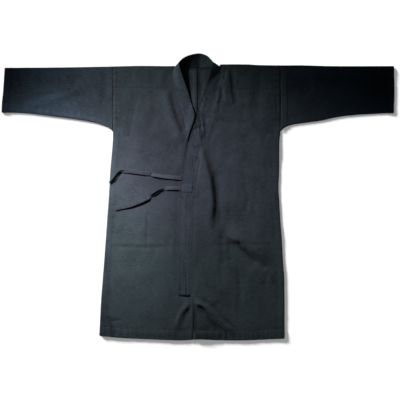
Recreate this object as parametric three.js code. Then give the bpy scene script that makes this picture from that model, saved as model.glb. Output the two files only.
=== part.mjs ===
// A kendo jacket laid flat on its back, fronts closed left over right, seen from above.
// Millimetres, +Z up, +X to the wearer's left, +Y towards the neck. The cloth rests on z = 0.
// Every piece is a wall of cloth: a grid of points with an outer and an inner side.
import * as THREE from 'three';

// Cloth
const CLOTH = 1.2;            // one layer of woven cotton
const BAND = 2.4;             // the collar band, two layers
const SEAM_GAP = 0.3;         // between two pieces at a seam
const BAND_GAP = 0.5;         // between the band and the edge it is sewn to
const NECK_EASE = 1;          // added to that gap where the edge bends round the neck
const FOLD_RADIUS = 2.6;      // outer radius where cloth folds back on itself

// Layers, as the height of the underside of each piece where it lies flat
const FRONT_BED = CLOTH + SEAM_GAP;              // right front, on the back
const OVERLAP_BED = FRONT_BED + BAND + 0.5;      // left front, on the hidden right band
const HEM_BED = FRONT_BED + CLOTH + 0.5;         // left front, on the right front below the band
const FOLD_BED = 2 * FOLD_RADIUS - CLOTH;        // underside of the upper cloth at a fold
const SHOULDER_ROLL = 70;     // length over which the shoulder fold flattens out
const SLEEVE_ROLL = 45;       // the same at a sleeve's folds

// Where the pieces meet
const CENTRE_SEAM = 0;
const ARMHOLE_RIGHT = -294;
const ARMHOLE_LEFT = 285;
const UNDERARM = 226;         // lower end of both armholes
const BAND_END = -342;        // square lower end of both bands
const NECK_DROP = 446;        // neckline at the centre back
const NECK_SIDE_RIGHT = -79.5;
const NECK_SIDE_LEFT = 76.5;

// Grid steps
const BACK_LOWER_STEPS = 9;   // hem to underarm
const BACK_UPPER_STEPS = 3;   // underarm to neckline
const TURN_STEPS = 5;
const FRONT_STEPS = 38;
const PANEL_COLUMNS = 16;
const SLEEVE_STATIONS = 15;
const SLEEVE_RUNS = { lower: 4, turn: 4, upper: 10 };

// Outlines, measured on the laid garment
const SHOULDER_LINE = [
  { x: -680, y: 447.6 }, { x: -490, y: 448.8 }, { x: -325, y: 451.5 }, { x: -200, y: 454.2 },
  { x: -95, y: 453.6 }, { x: 60, y: 459 }, { x: 170, y: 459.4 }, { x: 205, y: 457.3 },
  { x: 285, y: 456 }, { x: 355, y: 456.2 }, { x: 460, y: 453.6 }, { x: 680, y: 453.6 },
];
const HEM_LINE = [
  { x: -345, y: -478 }, { x: -325, y: -481.3 }, { x: -270, y: -486.5 }, { x: -160, y: -492 },
  { x: -50, y: -495 }, { x: 5, y: -491.5 }, { x: 60, y: -494 }, { x: 118, y: -495.5 },
  { x: 200, y: -493.7 }, { x: 300, y: -489 },
];
const SIDE_RIGHT = [
  { y: -500, x: -342 }, { y: -404, x: -337.5 }, { y: -342, x: -334 }, { y: -217, x: -324 },
  { y: -93, x: -315 }, { y: 11, x: -307.6 }, { y: 94, x: -303 }, { y: 150, x: -298 },
  { y: 200, x: -294 }, { y: 226, x: -294 }, { y: 460, x: -294 },
];
const SIDE_LEFT = [
  { y: -500, x: 298.6 }, { y: -445, x: 299.3 }, { y: -280, x: 298 }, { y: -238, x: 295 },
  { y: -134, x: 288.6 }, { y: -72, x: 284 }, { y: -10, x: 280.6 }, { y: 32, x: 278 },
  { y: 94, x: 280.6 }, { y: 190, x: 281 }, { y: 226, x: 285 }, { y: 245, x: 285 }, { y: 300, x: 285 },
  { y: 460, x: 285 },
];
const SLEEVE_EDGE_RIGHT = [
  { x: -680, y: 292.5 }, { x: -602, y: 291 }, { x: -491, y: 278.5 }, { x: -408, y: 267.5 },
  { x: -353, y: 257 }, { x: -325, y: 248 }, { x: -306, y: 239 }, { x: -294, y: 226 },
];
const SLEEVE_EDGE_LEFT = [
  { x: 285, y: 226 }, { x: 296, y: 238 }, { x: 311, y: 246 }, { x: 339, y: 253 }, { x: 422, y: 264 },
  { x: 478, y: 276 }, { x: 533, y: 283 }, { x: 644, y: 290 }, { x: 680, y: 290.6 },
];
const CUFF_RIGHT = [
  { y: 290, x: -679.6 }, { y: 325, x: -678.6 }, { y: 364, x: -674.5 }, { y: 450, x: -668.6 },
];
const CUFF_LEFT = [
  { y: 290, x: 677 }, { y: 360, x: 679.6 }, { y: 455, x: 677.5 },
];

// The collar band. Each row is a station: the line sewn to the body and the free edge, both on the
// band's outer face. From the hidden end on the right front, round the neck, to the end on the left.
const COLLAR = [
  { seamX: 22, seamY: -342, seamZ: 3.9, freeX: 67, freeY: -342, freeZ: 3.9 },
  { seamX: 21, seamY: -183, seamZ: 3.9, freeX: 66, freeY: -183, freeZ: 3.9 },
  { seamX: 16, seamY: -62, seamZ: 3.9, freeX: 61, freeY: -62, freeZ: 3.9 },
  { seamX: 7, seamY: 25, seamZ: 3.9, freeX: 52, freeY: 25, freeZ: 3.9 },
  { seamX: -15, seamY: 111, seamZ: 3.9, freeX: 31, freeY: 111, freeZ: 3.9 },
  { seamX: -36, seamY: 191, seamZ: 3.9, freeX: 13, freeY: 191, freeZ: 3.9 },
  { seamX: -49, seamY: 250, seamZ: 3.9, freeX: -2, freeY: 250, freeZ: 3.9 },
  { seamX: -62, seamY: 309, seamZ: 3.9, freeX: -17, freeY: 309, freeZ: 4.4 },
  { seamX: -76, seamY: 364, seamZ: 4.2, freeX: -34, freeY: 364, freeZ: 8 },
  { seamX: -86, seamY: 405, seamZ: 5, freeX: -48, freeY: 405, freeZ: 15 },
  { seamX: -88, seamY: 432, seamZ: 5.4, freeX: -58, freeY: 432, freeZ: 22 },
  { seamX: NECK_SIDE_RIGHT, seamY: 451, seamZ: 2.5, freeX: -65, freeY: 452, freeZ: 27 },
  { seamX: -60, seamY: 451.6, seamZ: 0.6, freeX: -60, freeY: 469, freeZ: 25 },
  { seamX: -35, seamY: 450, seamZ: 0, freeX: -36, freeY: 486, freeZ: 20 },
  { seamX: 0, seamY: 447.3, seamZ: 0, freeX: 3, freeY: 495.5, freeZ: 15 },
  { seamX: 35, seamY: 450.2, seamZ: 0, freeX: 32, freeY: 487, freeZ: 18 },
  { seamX: 59, seamY: 452.2, seamZ: 0.6, freeX: 52, freeY: 469, freeZ: 24 },
  { seamX: NECK_SIDE_LEFT, seamY: 453.5, seamZ: 2.5, freeX: 63, freeY: 455, freeZ: 27 },
  { seamX: 85, seamY: 433, seamZ: 6.4, freeX: 55, freeY: 431, freeZ: 23 },
  { seamX: 71, seamY: 392, seamZ: 6.8, freeX: 36, freeY: 392, freeZ: 15 },
  { seamX: 55, seamY: 347, seamZ: 6.8, freeX: 17, freeY: 347, freeZ: 10 },
  { seamX: 45, seamY: 309, seamZ: 6.9, freeX: 2, freeY: 309, freeZ: 8 },
  { seamX: 36, seamY: 264, seamZ: 6.9, freeX: -8, freeY: 264, freeZ: 7.4 },
  { seamX: 21, seamY: 212, seamZ: 6.9, freeX: -26, freeY: 212, freeZ: 7 },
  { seamX: 2, seamY: 136, seamZ: 6.9, freeX: -43, freeY: 136, freeZ: 6.8 },
  { seamX: -17, seamY: 25, seamZ: 6.9, freeX: -60, freeY: 25, freeZ: 6 },
  { seamX: -21, seamY: -62, seamZ: 6.9, freeX: -63, freeY: -62, freeZ: 5.8 },
  { seamX: -22.5, seamY: -183, seamZ: 6.9, freeX: -65, freeY: -183, freeZ: 5.8 },
  { seamX: -24, seamY: -342, seamZ: 6.9, freeX: -67, freeY: -342, freeZ: 5.8 },
];
const COLLAR_SUBSTEPS = 3;    // stations between two rows
const COLLAR_COLUMNS = 4;

// Front edges below the band's end
const EDGE_BELOW_RIGHT = 22;
const EDGE_BELOW_LEFT = -13;

// The largest folds: a ridge runs along a line, is as high as stated in its middle and dies out at its
// ends. A negative height is a valley.
const FOLDS_RIGHT_FRONT = [
  { fromX: -100, fromY: 345, toX: -50, toY: 200, halfWidth: 22, height: 3.5 },
  { fromX: -200, fromY: 372, toX: -236, toY: 226, halfWidth: 24, height: 3 },
  { fromX: -148, fromY: 440, toX: -150, toY: 250, halfWidth: 26, height: 3.2 },
  { fromX: -318, fromY: -150, toX: -75, toY: -166, halfWidth: 20, height: 2.4 },
  { fromX: -176, fromY: -40, toX: -178, toY: -300, halfWidth: 24, height: 2.6 },
  { fromX: -290, fromY: 60, toX: -200, toY: -60, halfWidth: 26, height: 2.4 },
  { fromX: -300, fromY: -420, toX: -215, toY: -330, halfWidth: 22, height: 2.6 },
  { fromX: -110, fromY: -470, toX: -100, toY: -360, halfWidth: 22, height: 2.2 },
];
const FOLDS_LEFT_FRONT = [
  { fromX: 122, fromY: 448, toX: 128, toY: 330, halfWidth: 20, height: 3.2 },
  { fromX: 225, fromY: 420, toX: 215, toY: 240, halfWidth: 26, height: 3 },
  { fromX: 100, fromY: -150, toX: 235, toY: -232, halfWidth: 20, height: 3.4 },
  { fromX: 137, fromY: -230, toX: 140, toY: -390, halfWidth: 22, height: 2.6 },
  { fromX: 110, fromY: 120, toX: 250, toY: 40, halfWidth: 28, height: 2.8 },
  { fromX: -26, fromY: -368, toX: 38, toY: -384, halfWidth: 16, height: 6 },
  { fromX: 30, fromY: -380, toX: 110, toY: -458, halfWidth: 16, height: 7 },
  { fromX: 150, fromY: -480, toX: 200, toY: -420, halfWidth: 20, height: 2.4 },
];
const FOLDS_SLEEVE_RIGHT = [
  { fromX: -585, fromY: 318, toX: -410, toY: 356, halfWidth: 20, height: 3.4 },
  { fromX: -400, fromY: 430, toX: -320, toY: 290, halfWidth: 24, height: 3 },
  { fromX: -650, fromY: 420, toX: -560, toY: 380, halfWidth: 22, height: 2.4 },
];
const FOLDS_SLEEVE_LEFT = [
  { fromX: 450, fromY: 448, toX: 466, toY: 410, halfWidth: 18, height: 3.4 },
  { fromX: 312, fromY: 400, toX: 306, toY: 262, halfWidth: 16, height: 4 },
  { fromX: 400, fromY: 380, toX: 600, toY: 330, halfWidth: 24, height: 2.8 },
];

// Ties: flat tubes of the same cloth. Each row is a point of the route; roll turns the flat side up on
// its edge, in degrees.
const TIE_WIDTH = 14;
const TIE_THICKNESS = 2;
const TIE_UPPER = [
  { x: -61, y: 66, roll: 0 }, { x: -80, y: 68, roll: 0 }, { x: -121, y: 72, roll: 8 },
  { x: -166, y: 80, roll: 20 }, { x: -214, y: 87, roll: 10 }, { x: -252, y: 90, roll: 5 },
  { x: -270, y: 87, roll: 35 }, { x: -283, y: 72, roll: 60 }, { x: -294, y: 58, roll: 55 },
  { x: -304, y: 48, roll: 40 },
];
const TIE_LOWER = [
  { x: -62, y: 31, roll: 0 }, { x: -75, y: 32, roll: 0 }, { x: -97, y: 32, roll: 10 },
  { x: -122, y: 27, roll: 35 }, { x: -142, y: 18, roll: 60 }, { x: -180, y: -6, roll: 65 },
  { x: -224, y: -25, roll: 55 }, { x: -250, y: -32, roll: 35 }, { x: -270, y: -36, roll: 20 },
  { x: -287, y: -41, roll: 5 },
];
const TIE_SUBSTEPS = 3;
const PATCH = { fromX: -56, toX: -20, fromY: 18, toY: 43 };

const CLOTH_COLOUR = 0x343b42;
const BAND_COLOUR = 0x2f353d;
const TIE_COLOUR = 0x272b35;

const mix = THREE.MathUtils.lerp;
const ease = THREE.MathUtils.smoothstep;

// A smooth curve through the rows of a table: the value of one column where another column is `at`.
function tableCurve(rows, keyColumn, valueColumn) {
  return (at) => {
    let i = 0;
    while (i < rows.length - 2 && at > rows[i + 1][keyColumn]) i++;
    const a = rows[i];
    const b = rows[i + 1];
    const before = rows[Math.max(i - 1, 0)];
    const after = rows[Math.min(i + 2, rows.length - 1)];
    const span = b[keyColumn] - a[keyColumn];
    const t = THREE.MathUtils.clamp((at - a[keyColumn]) / span, 0, 1);
    const slopeA = (b[valueColumn] - before[valueColumn]) / (b[keyColumn] - before[keyColumn]) * span;
    const slopeB = (after[valueColumn] - a[valueColumn]) / (after[keyColumn] - a[keyColumn]) * span;
    const t2 = t * t;
    const t3 = t2 * t;
    return (2 * t3 - 3 * t2 + 1) * a[valueColumn] + (t3 - 2 * t2 + t) * slopeA
      + (3 * t2 - 2 * t3) * b[valueColumn] + (t3 - t2) * slopeB;
  };
}

const shoulderY = tableCurve(SHOULDER_LINE, 'x', 'y');
const hemY = tableCurve(HEM_LINE, 'x', 'y');

// Height that a list of folds adds at a point.
function foldHeight(folds, x, y) {
  let sum = 0;
  for (const fold of folds) {
    const runX = fold.toX - fold.fromX;
    const runY = fold.toY - fold.fromY;
    const length = Math.hypot(runX, runY);
    const along = ((x - fold.fromX) * runX + (y - fold.fromY) * runY) / length;
    const aside = ((x - fold.fromX) * runY - (y - fold.fromY) * runX) / length;
    const fade = ease(along, -fold.halfWidth, length * 0.3)
      * (1 - ease(along, length * 0.7, length + fold.halfWidth));
    sum += fold.height * fade * Math.exp(-((aside / fold.halfWidth) ** 2));
  }
  return sum;
}

// Turns a closed geometry right side out, if its faces point inwards.
function facingOut(geometry) {
  const points = geometry.attributes.position;
  const index = geometry.index;
  const a = new THREE.Vector3();
  const b = new THREE.Vector3();
  const c = new THREE.Vector3();
  let volume = 0;
  for (let i = 0; i < index.count; i += 3) {
    a.fromBufferAttribute(points, index.getX(i));
    b.fromBufferAttribute(points, index.getX(i + 1));
    c.fromBufferAttribute(points, index.getX(i + 2));
    volume += a.dot(b.cross(c));
  }
  if (volume < 0) {
    for (let i = 0; i < index.count; i += 3) {
      const second = index.getX(i + 1);
      index.setX(i + 1, index.getX(i + 2));
      index.setX(i + 2, second);
    }
  }
  geometry.computeVertexNormals();
  return geometry;
}

// A flat wall: place(u, v, isOuter) gives each point, with u across and v along the piece.
function panelWall(columns, steps, place) {
  const geometry = new THREE.BoxGeometry(1, 1, 1, columns, steps, 1);
  const points = geometry.attributes.position;
  for (let i = 0; i < points.count; i++) {
    const p = place(points.getX(i) + 0.5, points.getY(i) + 0.5, points.getZ(i) > 0);
    points.setXYZ(i, p.x, p.y, p.z);
  }
  return facingOut(geometry);
}

// A tube wall, open at both ends: place(station, ringStep, isOuter) gives each point.
function tubeWall(stations, ringSteps, place) {
  const profile = [];
  for (let s = 0; s <= stations; s++) profile.push(new THREE.Vector2(2, s));
  for (let s = stations; s >= 0; s--) profile.push(new THREE.Vector2(1, s));
  profile.push(new THREE.Vector2(2, 0));
  const geometry = new THREE.LatheGeometry(profile, ringSteps);
  const points = geometry.attributes.position;
  for (let i = 0; i < points.count; i++) {
    const ringStep = Math.floor(i / profile.length) % ringSteps;
    const corner = profile[i % profile.length];
    const p = place(corner.y, ringStep, corner.x === 2);
    points.setXYZ(i, p.x, p.y, p.z);
  }
  return facingOut(geometry);
}

function clothPiece(name, geometry, color) {
  const material = new THREE.MeshStandardMaterial({ color, roughness: 0.92, metalness: 0 });
  const mesh = new THREE.Mesh(geometry, material);
  mesh.name = name;
  return mesh;
}

// Collar band: stations between the rows of its table, on a smooth curve
function collarStations() {
  const column = (name) => tableCurve(COLLAR.map((row, i) => ({ i, value: row[name] })), 'i', 'value');
  const seamX = column('seamX');
  const seamY = column('seamY');
  const seamZ = column('seamZ');
  const freeX = column('freeX');
  const freeY = column('freeY');
  const freeZ = column('freeZ');
  const stations = [];
  for (let k = 0; k <= (COLLAR.length - 1) * COLLAR_SUBSTEPS; k++) {
    const at = k / COLLAR_SUBSTEPS;
    stations.push({
      seam: new THREE.Vector3(seamX(at), seamY(at), Math.max(seamZ(at), 0)),
      free: new THREE.Vector3(freeX(at), freeY(at), freeZ(at)),
    });
  }
  return stations;
}
const STATIONS = collarStations();
const MIDDLE_STATION = (STATIONS.length - 1) / 2;

// A point of one side's band edge at height y, by straight lines between its stations.
function bandEdge(side, edge, axis) {
  const points = side === 'right'
    ? STATIONS.slice(0, MIDDLE_STATION + 1)
    : STATIONS.slice(MIDDLE_STATION).reverse();
  return (y) => {
    let i = 0;
    while (i < points.length - 2 && y > points[i + 1][edge].y) i++;
    const a = points[i][edge];
    const b = points[i + 1][edge];
    const t = THREE.MathUtils.clamp((y - a.y) / (b.y - a.y), 0, 1);
    return mix(a[axis], b[axis], t);
  };
}
const seamRightX = bandEdge('right', 'seam', 'x');
const seamLeftX = bandEdge('left', 'seam', 'x');
const freeRightX = bandEdge('right', 'free', 'x');
const freeLeftX = bandEdge('left', 'free', 'x');
const seamRightZ = bandEdge('right', 'seam', 'z');
const seamLeftZ = bandEdge('left', 'seam', 'z');

function makeCollar() {
  const steps = STATIONS.length - 1;
  const across = new THREE.Vector3();
  const along = new THREE.Vector3();
  const facePoint = (u, k) => {
    const station = STATIONS[Math.min(Math.max(k, 0), steps)];
    return station.seam.clone().lerp(station.free, u);
  };
  return panelWall(COLLAR_COLUMNS, steps, (u, v, isOuter) => {
    const k = Math.round(v * steps);
    const point = facePoint(u, k);
    if (isOuter) return point;
    along.subVectors(facePoint(u, k + 1), facePoint(u, k - 1));
    across.subVectors(STATIONS[k].free, STATIONS[k].seam);
    const outward = across.clone().cross(along).normalize();
    return point.addScaledVector(outward, -BAND);
  });
}

// Underside of the right front. It is flat where the left front lies on it.
function rightFrontBed(x, y) {
  const roll = (FOLD_BED - FRONT_BED) * (1 - ease(shoulderY(x) - FOLD_RADIUS - y, 0, SHOULDER_ROLL));
  const covered = ease(x, freeLeftX(Math.min(y, 309)) - 75, freeLeftX(Math.min(y, 309)) - 20);
  const beside = ease(y, 250, 330);
  const folds = foldHeight(FOLDS_RIGHT_FRONT, x, y) * (1 - covered * (1 - beside));
  const atBand = 1 - ease(seamRightX(y) - x, 0, 45);
  const lift = y > 309 ? atBand * (seamRightZ(y) - BAND - FRONT_BED) : 0;
  return FRONT_BED + Math.max(roll, lift, 0) + folds * (1 - atBand);
}

// Underside of the left front: over the hidden right band and front, then down onto the back.
function leftFrontBed(x, y) {
  const roll = (FOLD_BED - FRONT_BED) * (1 - ease(shoulderY(x) - FOLD_RADIUS - y, 0, SHOULDER_ROLL));
  const belowBand = 1 - ease(y, BAND_END - 45, BAND_END - 8);
  const under = mix(OVERLAP_BED, HEM_BED, belowBand) - FRONT_BED;
  const coverEnd = mix(freeRightX(Math.max(y, BAND_END)), EDGE_BELOW_RIGHT, belowBand);
  const over = under * (1 - ease(x, coverEnd + 12, coverEnd + 52));
  const atBand = 1 - ease(x - seamLeftX(y), 0, 60);
  const lift = y > BAND_END ? atBand * (seamLeftZ(y) - BAND - FRONT_BED) : 0;
  return FRONT_BED + Math.max(roll, over, lift) + foldHeight(FOLDS_LEFT_FRONT, x, y);
}

// One half of the body: back, turn over the shoulder, front. `side` is -1 on the wearer's right.
function makeBody(side, sideTable, frontEdgeX, bed) {
  const sideX = tableCurve(sideTable, 'y', 'x');
  const backSteps = BACK_LOWER_STEPS + BACK_UPPER_STEPS + 2;
  const steps = backSteps + TURN_STEPS + FRONT_STEPS;
  const centreEdgeX = CENTRE_SEAM + side * SEAM_GAP / 2;
  const neckSideX = (side < 0 ? NECK_SIDE_RIGHT : NECK_SIDE_LEFT) + side * BAND_GAP;
  // A row follows the hem and the shoulder line, so its x and y are settled together.
  const settle = (u, edgeX, rowY) => {
    let y = rowY(side * 150);
    let x = 0;
    for (let pass = 0; pass < 6; pass++) {
      x = mix(edgeX(y), sideX(y), u);
      y = rowY(x);
    }
    return { x, y };
  };
  const topY = (x) => shoulderY(x) - FOLD_RADIUS;
  return panelWall(PANEL_COLUMNS, steps, (u, v, isOuter) => {
    const step = Math.round(v * steps);
    if (step < backSteps) {
      // The last row runs up along the neckline, from the centre to the side of the neck.
      const onNeckline = step === backSteps - 1;
      const rowY = (x) => {
        if (onNeckline) return mix(NECK_DROP, topY(x), 0.6);
        if (step <= BACK_LOWER_STEPS) return mix(hemY(x), UNDERARM, step / BACK_LOWER_STEPS);
        return mix(UNDERARM, NECK_DROP, (step - BACK_LOWER_STEPS) / BACK_UPPER_STEPS);
      };
      const p = settle(u, () => (onNeckline ? neckSideX : centreEdgeX), rowY);
      return new THREE.Vector3(p.x, p.y, isOuter ? 0 : CLOTH);
    }
    if (step <= backSteps + TURN_STEPS) {
      const angle = Math.PI * ((step - backSteps) / TURN_STEPS - 0.5);
      const radius = isOuter ? FOLD_RADIUS : FOLD_RADIUS - CLOTH;
      const x = mix(neckSideX, sideX(NECK_DROP), u);
      return new THREE.Vector3(x, topY(x) + radius * Math.cos(angle), FOLD_RADIUS + radius * Math.sin(angle));
    }
    // The rows stand closer near the shoulder, where the neck edge curves.
    const t = (step - backSteps - TURN_STEPS) / FRONT_STEPS;
    const fromHem = 1 - t * (1 - 0.75 * (1 - t) ** 6);
    const p = settle(u, frontEdgeX, (x) => mix(hemY(x), topY(x), fromHem));
    return new THREE.Vector3(p.x, p.y, bed(p.x, p.y) + (isOuter ? CLOTH : 0));
  });
}

// The front edges: along the band, and below its end on to the hem.
function frontEdge(side, seamX, edgeBelow) {
  return (y) => {
    const below = 1 - ease(y, BAND_END - 60, BAND_END);
    const gap = BAND_GAP + NECK_EASE * ease(y, 400, 440);
    return mix(seamX(y), edgeBelow, below) + side * gap;
  };
}
const rightFrontEdgeX = frontEdge(-1, seamRightX, EDGE_BELOW_RIGHT);
const leftFrontEdgeX = frontEdge(1, seamLeftX, EDGE_BELOW_LEFT);

// A sleeve: rings from the armhole to the cuff, each with a lower run on the floor, a turn at the top
// fold, an upper run and a turn at the lower edge.
function makeSleeve(side, armholeX, cuffTable, edgeTable, folds) {
  const cuffX = tableCurve(cuffTable, 'y', 'x');
  const edgeY = tableCurve(edgeTable, 'x', 'y');
  const { lower, turn, upper } = SLEEVE_RUNS;
  const ringSteps = lower + turn + upper + turn;
  const startX = armholeX + side * SEAM_GAP;
  return tubeWall(SLEEVE_STATIONS, ringSteps, (station, ringStep, isOuter) => {
    const along = (station / SLEEVE_STATIONS) ** 1.25;
    const roughX = mix(startX, side * 677, along);
    const topY = shoulderY(roughX) - FOLD_RADIUS;
    const bottomY = edgeY(roughX) + FOLD_RADIUS;
    const radius = isOuter ? FOLD_RADIUS : FOLD_RADIUS - CLOTH;
    let y = 0;
    let z = 0;
    if (ringStep < lower) {
      y = mix(bottomY, topY, ringStep / lower);
      z = isOuter ? 0 : CLOTH;
    } else if (ringStep <= lower + turn) {
      const angle = Math.PI * ((ringStep - lower) / turn - 0.5);
      y = topY + radius * Math.cos(angle);
      z = FOLD_RADIUS + radius * Math.sin(angle);
    } else if (ringStep < lower + turn + upper) {
      y = mix(topY, bottomY, (ringStep - lower - turn) / upper);
      const roll = Math.max(1 - ease(topY - y, 0, SLEEVE_ROLL), 1 - ease(y - bottomY, 0, SLEEVE_ROLL));
      const bed = mix(FRONT_BED + 0.3, FOLD_BED, roll) + foldHeight(folds, roughX, y);
      z = bed + (isOuter ? CLOTH : 0);
    } else {
      const angle = Math.PI * ((ringStep - lower - turn - upper) / turn + 0.5);
      y = bottomY + radius * Math.cos(angle);
      z = FOLD_RADIUS + radius * Math.sin(angle);
    }
    return new THREE.Vector3(mix(startX, cuffX(y), along), y, z);
  });
}

// A tie: a flat section carried along its route, on top of the right front.
function makeTie(route) {
  const column = (name) => tableCurve(route.map((row, i) => ({ i, value: row[name] })), 'i', 'value');
  const routeX = column('x');
  const routeY = column('y');
  const roll = column('roll');
  const steps = (route.length - 1) * TIE_SUBSTEPS;
  const last = route.length - 1;
  return panelWall(2, steps, (u, v, isOuter) => {
    const at = v * last;
    const near = 0.02;
    const alongX = routeX(Math.min(at + near, last)) - routeX(Math.max(at - near, 0));
    const alongY = routeY(Math.min(at + near, last)) - routeY(Math.max(at - near, 0));
    const length = Math.hypot(alongX, alongY);
    const turn = THREE.MathUtils.degToRad(roll(at));
    const across = (u - 0.5) * TIE_WIDTH;
    const up = (isOuter ? 0.5 : -0.5) * TIE_THICKNESS;
    const flat = across * Math.cos(turn) - up * Math.sin(turn);
    const rise = across * Math.sin(turn) + up * Math.cos(turn);
    const reach = 0.5 * (TIE_WIDTH * Math.abs(Math.sin(turn)) + TIE_THICKNESS * Math.cos(turn));
    const x = routeX(at);
    const y = routeY(at);
    let rest = 0;
    for (const aside of [-1, 0, 1]) {
      const sideStep = aside * TIE_WIDTH / 2;
      rest = Math.max(rest, rightFrontBed(x + sideStep * alongY / length, y - sideStep * alongX / length));
    }
    const centreZ = rest + CLOTH + 0.6 + reach;
    return new THREE.Vector3(x - flat * alongY / length, y + flat * alongX / length, centreZ + rise);
  });
}

// The patch lies on the left band: the band's points, moved out.
function makePatch() {
  return panelWall(3, 2, (u, v, isOuter) => {
    const x = mix(PATCH.fromX, PATCH.toX, u);
    const y = mix(PATCH.fromY, PATCH.toY, v);
    const onBand = (seamLeftX(y) - x) / (seamLeftX(y) - freeLeftX(y));
    const bandZ = mix(seamLeftZ(y), bandEdge('left', 'free', 'z')(y), onBand);
    return new THREE.Vector3(x, y, bandZ + SEAM_GAP + (isOuter ? CLOTH : 0));
  });
}

const jacket = new THREE.Group();
jacket.add(
  clothPiece('body_right', makeBody(-1, SIDE_RIGHT, rightFrontEdgeX, rightFrontBed), CLOTH_COLOUR),
  clothPiece('body_left', makeBody(1, SIDE_LEFT, leftFrontEdgeX, leftFrontBed), CLOTH_COLOUR),
  clothPiece(
    'sleeve_right',
    makeSleeve(-1, ARMHOLE_RIGHT, CUFF_RIGHT, SLEEVE_EDGE_RIGHT, FOLDS_SLEEVE_RIGHT),
    CLOTH_COLOUR,
  ),
  clothPiece(
    'sleeve_left',
    makeSleeve(1, ARMHOLE_LEFT, CUFF_LEFT, SLEEVE_EDGE_LEFT, FOLDS_SLEEVE_LEFT),
    CLOTH_COLOUR,
  ),
  clothPiece('collar', makeCollar(), BAND_COLOUR),
  clothPiece('tie_patch', makePatch(), BAND_COLOUR),
  clothPiece('tie_upper', makeTie(TIE_UPPER), TIE_COLOUR),
  clothPiece('tie_lower', makeTie(TIE_LOWER), TIE_COLOUR),
);

export default jacket;
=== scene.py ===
# %% [markdown]
# # A kendo jacket, laid flat
#
# The jacket is dark cotton: two lengths of cloth that run from the back hem over the shoulders to the
# front hem, two straight sleeves, one long collar band and two flat ties. It lies on its back with the
# left front over the right, and the camera looks straight down on it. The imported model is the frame:
# it holds each piece at its real size, and every piece made here lies where its solid lies.

# %% The frame
import math
import random

import bmesh
import bpy
import numpy as np
from mathutils import Matrix, Vector


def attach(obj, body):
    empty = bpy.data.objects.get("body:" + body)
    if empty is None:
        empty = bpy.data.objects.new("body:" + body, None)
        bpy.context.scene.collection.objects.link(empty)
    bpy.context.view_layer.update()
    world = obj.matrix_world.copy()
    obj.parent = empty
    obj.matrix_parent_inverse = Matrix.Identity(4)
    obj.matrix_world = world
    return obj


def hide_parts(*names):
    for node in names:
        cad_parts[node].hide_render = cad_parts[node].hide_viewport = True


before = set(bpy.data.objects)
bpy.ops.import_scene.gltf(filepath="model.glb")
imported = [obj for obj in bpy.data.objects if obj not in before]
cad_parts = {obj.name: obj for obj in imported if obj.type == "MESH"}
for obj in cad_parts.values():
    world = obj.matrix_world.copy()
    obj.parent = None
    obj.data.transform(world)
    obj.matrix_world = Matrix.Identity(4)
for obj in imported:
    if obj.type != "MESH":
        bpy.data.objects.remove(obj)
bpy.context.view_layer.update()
print("nodes", sorted(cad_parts))

# %% [markdown]
# ## Sizes
#
# A garment is measured in millimetres, so the tables here are in millimetres, and one factor turns them
# into Blender's metres at the end. X runs to the wearer's left, Y towards the neck and Z up from the
# floor. The outlines are short tables of points on the laid garment.

# %% Sizes of the cloth
MM = 0.001
CLOTH = 1.1             # one layer of cotton
BAND = 2.4              # the collar band, two layers
FOLD_RADIUS = 2.6       # where the cloth turns over the shoulder and the top of a sleeve
TURN_RADIUS = 1.2       # where a hem turns under
HEM_DEPTH = 28          # how deep the hem is turned
CUFF_DEPTH = 21
FRONT_BED = 1.5         # underside of the right front, on the back
OVERLAP_BED = 4.4       # underside of the left front, on the hidden right band
HEM_BED = 3.2           # the same below the band's end
HEM_START = 8           # how far from its edge a hem begins to turn
HEM_FLANK = HEM_DEPTH - 2, HEM_DEPTH + 6    # from the hem's full thickness down to one layer
CENTRE_GAP = 0.15       # from the centre back seam to the cloth on either side
NECK_LIFT = 1.05 * CLOTH    # the back's neck edge, whose thickness lies below it
SEAM_TUCK = 1.6         # how far a front's inner edge goes under the band's seam
SIGN = {"right": -1, "left": 1}
ARMHOLE = {"right": -294, "left": 285}
NECK_SIDE = {"right": -79.5, "left": 76.5}
UNDERARM = 226
NECK_DROP = 446         # neckline at the centre back
PATCH_LINE = 378.5      # stitches of the patch inside the shoulders
BAND_WIDTH = 45
BAND_END = -342
SLIT_TOP = -376, -354   # where the fronts come apart below the band's end
CUFF_X = 677

# %% Outlines, as points (x, y), or (y, x) for the lines that run up the garment
SHOULDER_LINE = [
    (-680, 447.6), (-490, 448.8), (-325, 451.5), (-200, 454.2), (-95, 453.6), (60, 459), (170, 459.4),
    (205, 457.3), (285, 456), (355, 456.2), (460, 453.6), (680, 453.6),
]
HEM_LINE = [
    (-345, -478), (-325, -481.3), (-270, -486.5), (-160, -492), (-50, -495), (5, -491.5), (60, -494),
    (118, -495.5), (200, -493.7), (300, -489),
]
NECK_LINE = [(0, 447.2), (35, 449.9), (60, 451.2), (68, 449.6), (78, 447.6), (700, 447.4)]  # of the back
SIDE_RIGHT = [
    (-500, -342), (-404, -337.5), (-342, -334), (-217, -324), (-93, -315), (11, -307.6), (94, -303),
    (150, -298), (200, -294), (226, -294), (460, -294),
]
SIDE_LEFT = [
    (-500, 298.6), (-445, 299.3), (-280, 298), (-238, 295), (-134, 288.6), (-72, 284), (-10, 280.6),
    (32, 278), (94, 280.6), (190, 281), (226, 285), (245, 285), (300, 285), (460, 285),
]
SLEEVE_EDGE_RIGHT = [
    (-680, 292.5), (-602, 291), (-491, 278.5), (-408, 267.5), (-353, 257), (-325, 248), (-306, 239),
    (-294, 226),
]
SLEEVE_EDGE_LEFT = [
    (285, 226), (296, 238), (311, 246), (339, 253), (422, 264), (478, 276), (533, 283), (644, 290),
    (680, 290.6),
]
CUFF_RIGHT = [(290, -679.6), (325, -678.6), (364, -674.5), (450, -668.6)]
CUFF_LEFT = [(290, 677), (360, 679.6), (455, 677.5)]

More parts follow.
